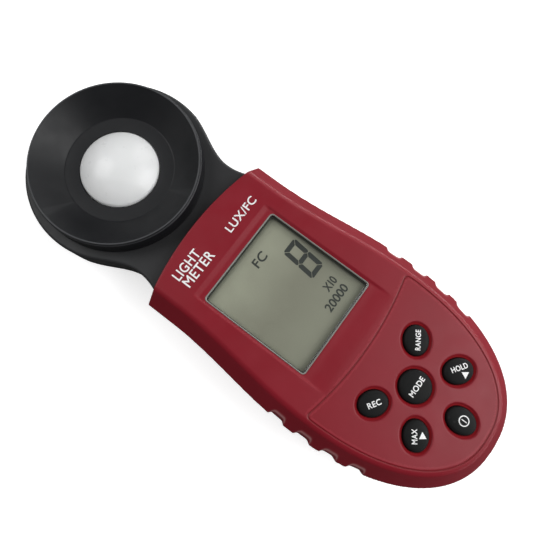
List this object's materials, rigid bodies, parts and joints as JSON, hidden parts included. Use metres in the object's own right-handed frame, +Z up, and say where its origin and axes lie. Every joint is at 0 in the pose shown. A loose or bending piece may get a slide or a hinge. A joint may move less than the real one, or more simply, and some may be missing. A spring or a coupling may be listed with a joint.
{
  "type": "handheld light meter",
  "caption": "Handheld light meter: funnel sensor head with a white dome on a short flared neck, tapered body with a square display, rubber keys and a sliding battery cover.",
  "frame": {"origin": "under the middle of the meter's length and width, on the surface that its back lies on", "axes": "+X to the meter's right, +Y along the body from the tail to the sensor head, +Z up out of the key and display face"},
  "size_m": [0.06, 0.162, 0.0282],
  "materials": {
    "red_plastic": "fine-textured dark red ABS",
    "black_plastic": "satin black ABS",
    "opal_plastic": "opal white acrylic, slightly translucent",
    "seal_rubber": "soft black rubber",
    "filter_glass": "green correction glass",
    "diode_case": "cream moulded case",
    "circuit_board": "green solder mask on glass epoxy",
    "clear_window": "clear hard-coated acrylic",
    "lcd_glass": "grey-green reflective liquid crystal panel",
    "cream_nylon": "moulded cream nylon",
    "carbon_rubber": "conductive carbon rubber",
    "key_rubber": "matte black silicone",
    "mat_rubber": "grey silicone",
    "chip_plastic": "black epoxy",
    "crystal_can": "nickel-plated can",
    "capacitor_sleeve": "blue sleeve on an aluminium can",
    "cell_sleeve": "plain printed sleeve on a AAA cell",
    "spring_steel": "nickel-plated spring wire",
    "contact_plating": "nickel-plated brass",
    "screw_steel": "zinc-plated steel",
    "lead_red": "red PVC insulation",
    "lead_black": "black PVC insulation"
  },
  "bodies": {
    "housing": {"front_shell": "red_plastic", "rear_shell": "red_plastic", "head_plate": "black_plastic", "head_back": "black_plastic", "sensor_hood": "black_plastic", "diffuser_dome": "opal_plastic", "dome_seal": "seal_rubber", "colour_filter": "filter_glass", "photodiode": "diode_case", "sensor_board": "circuit_board", "main_board": "circuit_board", "display_window": "clear_window", "lcd_glass": "lcd_glass", "lcd_frame": "cream_nylon", "trimmer": "cream_nylon", "sensor_connector": "cream_nylon", "zebra_strip_head": "carbon_rubber", "zebra_strip_tail": "carbon_rubber", "keypad_mat": "mat_rubber", "meter_chip": "chip_plastic", "crystal": "crystal_can", "capacitor": "capacitor_sleeve", "cell_1": "cell_sleeve", "cell_2": "cell_sleeve", "cell_3": "cell_sleeve", "contact_spring_1": "spring_steel", "contact_spring_2": "spring_steel", "contact_spring_3": "spring_steel", "contact_plate_1": "contact_plating", "contact_plate_2": "contact_plating", "contact_plate_3": "contact_plating", "case_screw_1": "screw_steel", "case_screw_2": "screw_steel", "case_screw_3": "screw_steel", "case_screw_4": "screw_steel", "board_screw_1": "screw_steel", "board_screw_2": "screw_steel", "head_screw_1": "screw_steel", "head_screw_2": "screw_steel", "head_screw_3": "screw_steel", "sensor_screw_1": "screw_steel", "sensor_screw_2": "screw_steel", "sensor_screw_3": "screw_steel", "sensor_lead_positive": "lead_red", "battery_lead_positive": "lead_red", "sensor_lead_negative": "lead_black", "battery_lead_negative": "lead_black"},
    "battery_cover": {"battery_cover": "red_plastic"},
    "key_mode": {"button_mode": "key_rubber", "contact_pill_mode": "carbon_rubber"},
    "key_range": {"button_range": "key_rubber", "contact_pill_range": "carbon_rubber"},
    "key_rec": {"button_rec": "key_rubber", "contact_pill_rec": "carbon_rubber"},
    "key_hold": {"button_hold": "key_rubber", "contact_pill_hold": "carbon_rubber"},
    "key_max": {"button_max": "key_rubber", "contact_pill_max": "carbon_rubber"},
    "key_power": {"button_power": "key_rubber", "contact_pill_power": "carbon_rubber"}
  },
  "joints": [
    {"name": "cover_slide", "type": "slide", "parent": "housing", "child": "battery_cover", "axis": [0, -1, 0], "range_m": [0, 0.06]},
    {"name": "mode_press", "type": "slide", "parent": "housing", "child": "key_mode", "axis": [0, 0, -1], "range_m": [0, 0.0009], "stiffness_N_per_m": 1200, "springref_m": -0.0002},
    {"name": "range_press", "type": "slide", "parent": "housing", "child": "key_range", "axis": [0, 0, -1], "range_m": [0, 0.0009], "stiffness_N_per_m": 1200, "springref_m": -0.0002},
    {"name": "rec_press", "type": "slide", "parent": "housing", "child": "key_rec", "axis": [0, 0, -1], "range_m": [0, 0.0009], "stiffness_N_per_m": 1200, "springref_m": -0.0002},
    {"name": "hold_press", "type": "slide", "parent": "housing", "child": "key_hold", "axis": [0, 0, -1], "range_m": [0, 0.0009], "stiffness_N_per_m": 1200, "springref_m": -0.0002},
    {"name": "max_press", "type": "slide", "parent": "housing", "child": "key_max", "axis": [0, 0, -1], "range_m": [0, 0.0009], "stiffness_N_per_m": 1200, "springref_m": -0.0002},
    {"name": "power_press", "type": "slide", "parent": "housing", "child": "key_power", "axis": [0, 0, -1], "range_m": [0, 0.0009], "stiffness_N_per_m": 1200, "springref_m": -0.0002}
  ]
}
